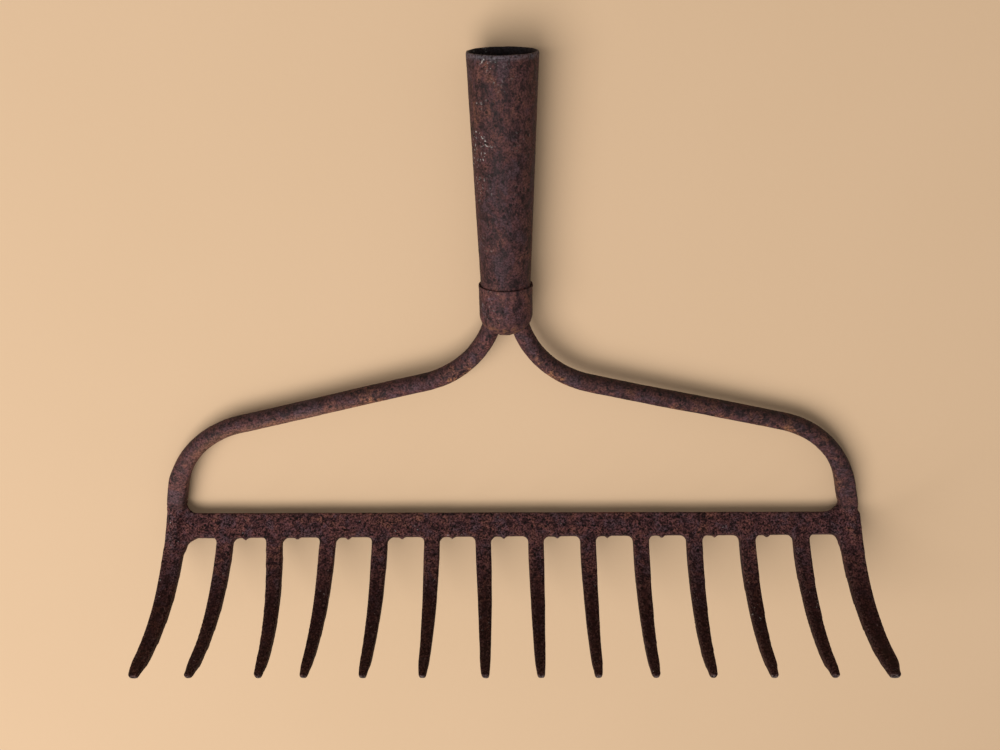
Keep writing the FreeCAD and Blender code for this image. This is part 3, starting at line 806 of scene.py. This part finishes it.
def build_bow_weld(side, leg, material):
    """The upset lump between a leg and its horn, with a trace of the seam left open."""
    name = SIDE_NAMES[side]
    mesh = remeshed(copied_node(name + "_bow_weld"), voxel=0.25 * MM)
    relax(mesh, rounds=3, hold=0.3)
    points = leg.square_off(read_points(mesh), np.ones(len(mesh.vertices)))
    middle = (points[:, Y].min() + points[:, Y].max()) / 2
    from_middle = (points[:, Y] - middle) / (points[:, Y].max() - middle)
    points[:, Y] += 0.8 * MM * from_middle
    points = leg.tuck_in(points, 0.6 + 0.3 * smoothstep(np.abs(from_middle), 0.5, 1.0))
    write_points(mesh, points)
    push_out(mesh, -open_seam(points, middle))
    corrode(mesh, seed=4.0, grain=0.08, swell=0.15, pits=0.2)
    finish_piece(mesh, name + "_weld_bead", name + "_bow_weld", material)


def build_neck_weld(material):
    """The rough weld metal at the bottom of the cup, between the rods."""
    mesh = remeshed(copied_node("neck_weld"), voxel=0.25 * MM)
    relax(mesh, rounds=2)
    corrode(mesh, seed=4.0, grain=0.15, swell=0.35, pits=0.25)
    finish_piece(mesh, "neck_weld_bead", "neck_weld", material)


def build_cup(material):
    """The cup: a lip that is flared and not quite square to its axis, and a lumpy bottom."""
    mesh = remeshed(copied_node("socket_cup"), voxel=0.28 * MM)
    relax(mesh, rounds=2, hold=0.3)
    points = read_points(mesh)
    lip = points[:, Y].max()
    bottom = points[:, Y].min()
    upper_side = smoothstep(points[:, Z], 0, points[:, Z].max())
    near_lip = smoothstep(points[:, Y], lip - 8 * MM, lip)
    points[:, Y] -= (0.75 - 0.39 * upper_side) * MM * near_lip
    flare = 1 + 0.022 * smoothstep(points[:, Y], lip - 3.5 * MM, lip)
    points[:, [X, Z]] *= flare[:, None]
    lumps = noise_field(points, 3.0 * MM, 2.2)
    lumps *= smoothstep(points[:, Y], bottom + 9 * MM, bottom + 3 * MM)
    write_points(mesh, points)
    push_out(mesh, 0.3 * MM * lumps)
    corrode(mesh, seed=5.0, swell=0.08)
    finish_piece(mesh, "socket_collar", "socket_cup", material)


def build_tube(material):
    """The socket: a thin uneven rim, cut back a little on its upper side."""
    mesh = remeshed(copied_node("socket_tube"), voxel=0.5 * MM)
    relax(mesh, rounds=2, hold=0.3)
    points = read_points(mesh)
    near_rim = smoothstep(points[:, Y], -7 * MM, -0.5 * MM)
    cut_back = 0.28 * (1 + points[:, Z] / points[:, Z].max())
    ragged = 0.10 * noise_field(points * [1, 0, 1], 4 * MM, 6.6)
    points[:, Y] -= (cut_back + ragged) * MM * near_rim
    write_points(mesh, points)
    # marks the points that face the tube's inside, where the sheet material paints shade
    towards_axis = -np.einsum("ij,ij->i", read_normals(mesh)[:, [X, Z]], points[:, [X, Z]])
    store(mesh, "inside", smoothstep(towards_axis, 0, 5 * MM))
    corrode(mesh, seed=6.0, swell=0.06)
    finish_piece(mesh, "socket_sleeve", "socket_tube", material)


# ---------------------------------------------------------------- stage, light and camera

CAMERA_PLACE = (-0.3 * MM, 44.3 * MM, 435.7 * MM)
CAMERA_TILT = math.radians(23.8)
CAMERA_ROLL = math.radians(-0.894)
CAMERA_LENS = 36.0                  # in mm, as wide as the sensor
LIGHT_FROM = Vector((-0.62, -0.32, 1.2)).normalized()
LIGHT_DISTANCE = 1.6
LIGHT_SIZE = 1.5
LIGHT_POWER = 31
FLOOR_HALF = 3.0


def make_floor(height):
    """A plain pale floor that the object rests on."""
    work = bmesh.new()
    bmesh.ops.create_grid(work, x_segments=1, y_segments=1, size=FLOOR_HALF)
    mesh = as_mesh(work, "floor")
    nodes = Nodes("pale_floor")
    shade = nodes.mix(nodes.noise(250 * MM, 3), (0.63, 0.445, 0.28), (0.67, 0.475, 0.31))
    mesh.materials.append(nodes.surface(shade, 0.85, nodes.noise(4 * MM, 3), 0.05 * MM, metallic=0.0))
    floor = new_object("floor", mesh)
    floor.location.z = height


def make_light(centre):
    """One square soft box above the object, to its left and a little on the tines' side."""
    data = bpy.data.lights.new("key", "AREA")
    data.size = LIGHT_SIZE
    data.energy = LIGHT_POWER
    data.color = (1.0, 0.97, 0.93)
    light = bpy.data.objects.new("key", data)
    bpy.context.scene.collection.objects.link(light)
    light.location = centre + LIGHT_FROM * LIGHT_DISTANCE
    light.rotation_mode = "QUATERNION"
    light.rotation_quaternion = LIGHT_FROM.to_track_quat("Z", "Y")


def make_camera():
    """High above the socket's mouth, looking down and towards the tines."""
    data = bpy.data.cameras.new("camera")
    data.sensor_width = CAMERA_LENS
    data.lens = CAMERA_LENS
    data.clip_start = 0.01
    data.clip_end = 20.0
    camera = bpy.data.objects.new("camera", data)
    bpy.context.scene.collection.objects.link(camera)
    turn = Matrix.Rotation(CAMERA_ROLL, 4, "Z") @ Matrix.Rotation(-CAMERA_TILT, 4, "X")
    camera.matrix_world = Matrix.Translation(CAMERA_PLACE) @ turn
    bpy.context.scene.camera = camera


def make_world():
    """A weak, slightly warm light from everywhere."""
    world = bpy.data.worlds.new("world")
    world.use_nodes = True
    background = world.node_tree.nodes["Background"]
    background.inputs["Color"].default_value = (1.0, 0.96, 0.92, 1)
    background.inputs["Strength"].default_value = 0.32
    bpy.context.scene.world = world


def build_all():
    """Every piece; the arms come first, because their welds and the head follow the legs' lines."""
    rod = rod_material()
    sheet = sheet_material()
    weld = weld_material()
    legs = {side: build_arm(side, rod) for side in (-1, 1)}
    for side, leg in legs.items():
        build_bow_weld(side, leg, weld)
    build_head(forging_material(), legs)
    build_neck_weld(weld)
    build_cup(sheet)
    build_tube(sheet)


build_all()
make_floor(cad_low.z)
make_light((cad_low + cad_high) / 2)
make_camera()
make_world()
bpy.context.scene.view_settings.view_transform = "Standard"
